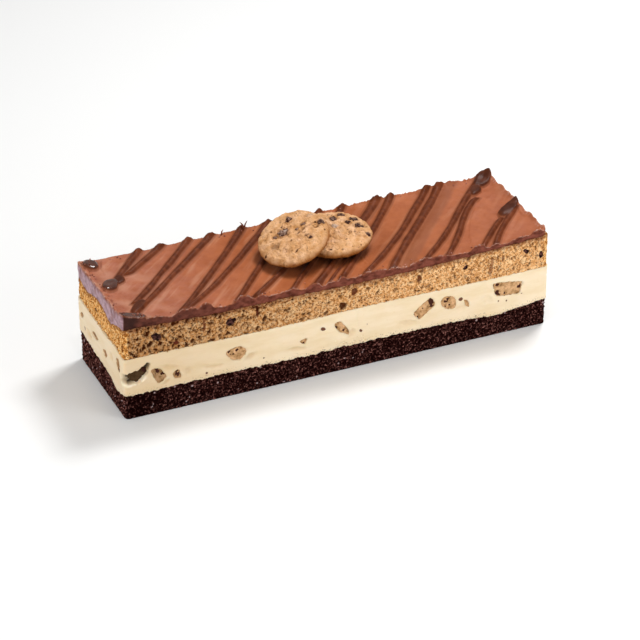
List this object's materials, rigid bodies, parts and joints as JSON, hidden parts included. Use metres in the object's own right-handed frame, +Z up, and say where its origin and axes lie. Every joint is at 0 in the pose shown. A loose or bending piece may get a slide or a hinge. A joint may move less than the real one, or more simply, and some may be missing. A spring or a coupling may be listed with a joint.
{
  "type": "cookie cake",
  "caption": "Rectangular bar cake in four layers, with pieces of cookie dough in its cream, a drizzled chocolate topping and cookies leaning on top.",
  "frame": {"origin": "middle of the cake's flat underside", "axes": "+X along the cake from its left end, +Z up; the long side that faces the viewer looks along -Y"},
  "size_m": [0.281, 0.0803, 0.0872],
  "materials": {
    "chocolate_sponge": "open dark crumb",
    "vanilla_cream": "smooth set cream",
    "golden_sponge": "open golden crumb",
    "chocolate_topping": "satin milk chocolate with darker drizzle",
    "cookie": "baked, cracked",
    "cookie_dough": "soft dough with dark flecks"
  },
  "bodies": {
    "root": {"chocolate_sponge": "chocolate_sponge", "chocolate_topping": "chocolate_topping", "cookie_lower": "cookie", "cookie_upper": "cookie", "dough_piece_01": "cookie_dough", "dough_piece_02": "cookie_dough", "dough_piece_03": "cookie_dough", "dough_piece_04": "cookie_dough", "dough_piece_05": "cookie_dough", "dough_piece_06": "cookie_dough", "dough_piece_07": "cookie_dough", "dough_piece_08": "cookie_dough", "dough_piece_09": "cookie_dough", "dough_piece_10": "cookie_dough", "dough_piece_11": "cookie_dough", "dough_piece_12": "cookie_dough", "dough_piece_13": "cookie_dough", "dough_piece_14": "cookie_dough", "dough_piece_15": "cookie_dough", "dough_piece_16": "cookie_dough", "dough_piece_17": "cookie_dough", "dough_piece_18": "cookie_dough", "dough_piece_19": "cookie_dough", "dough_piece_20": "cookie_dough", "dough_piece_21": "cookie_dough", "dough_piece_22": "cookie_dough", "dough_piece_23": "cookie_dough", "golden_sponge": "golden_sponge", "vanilla_cream": "vanilla_cream"}
  },
  "joints": []
}
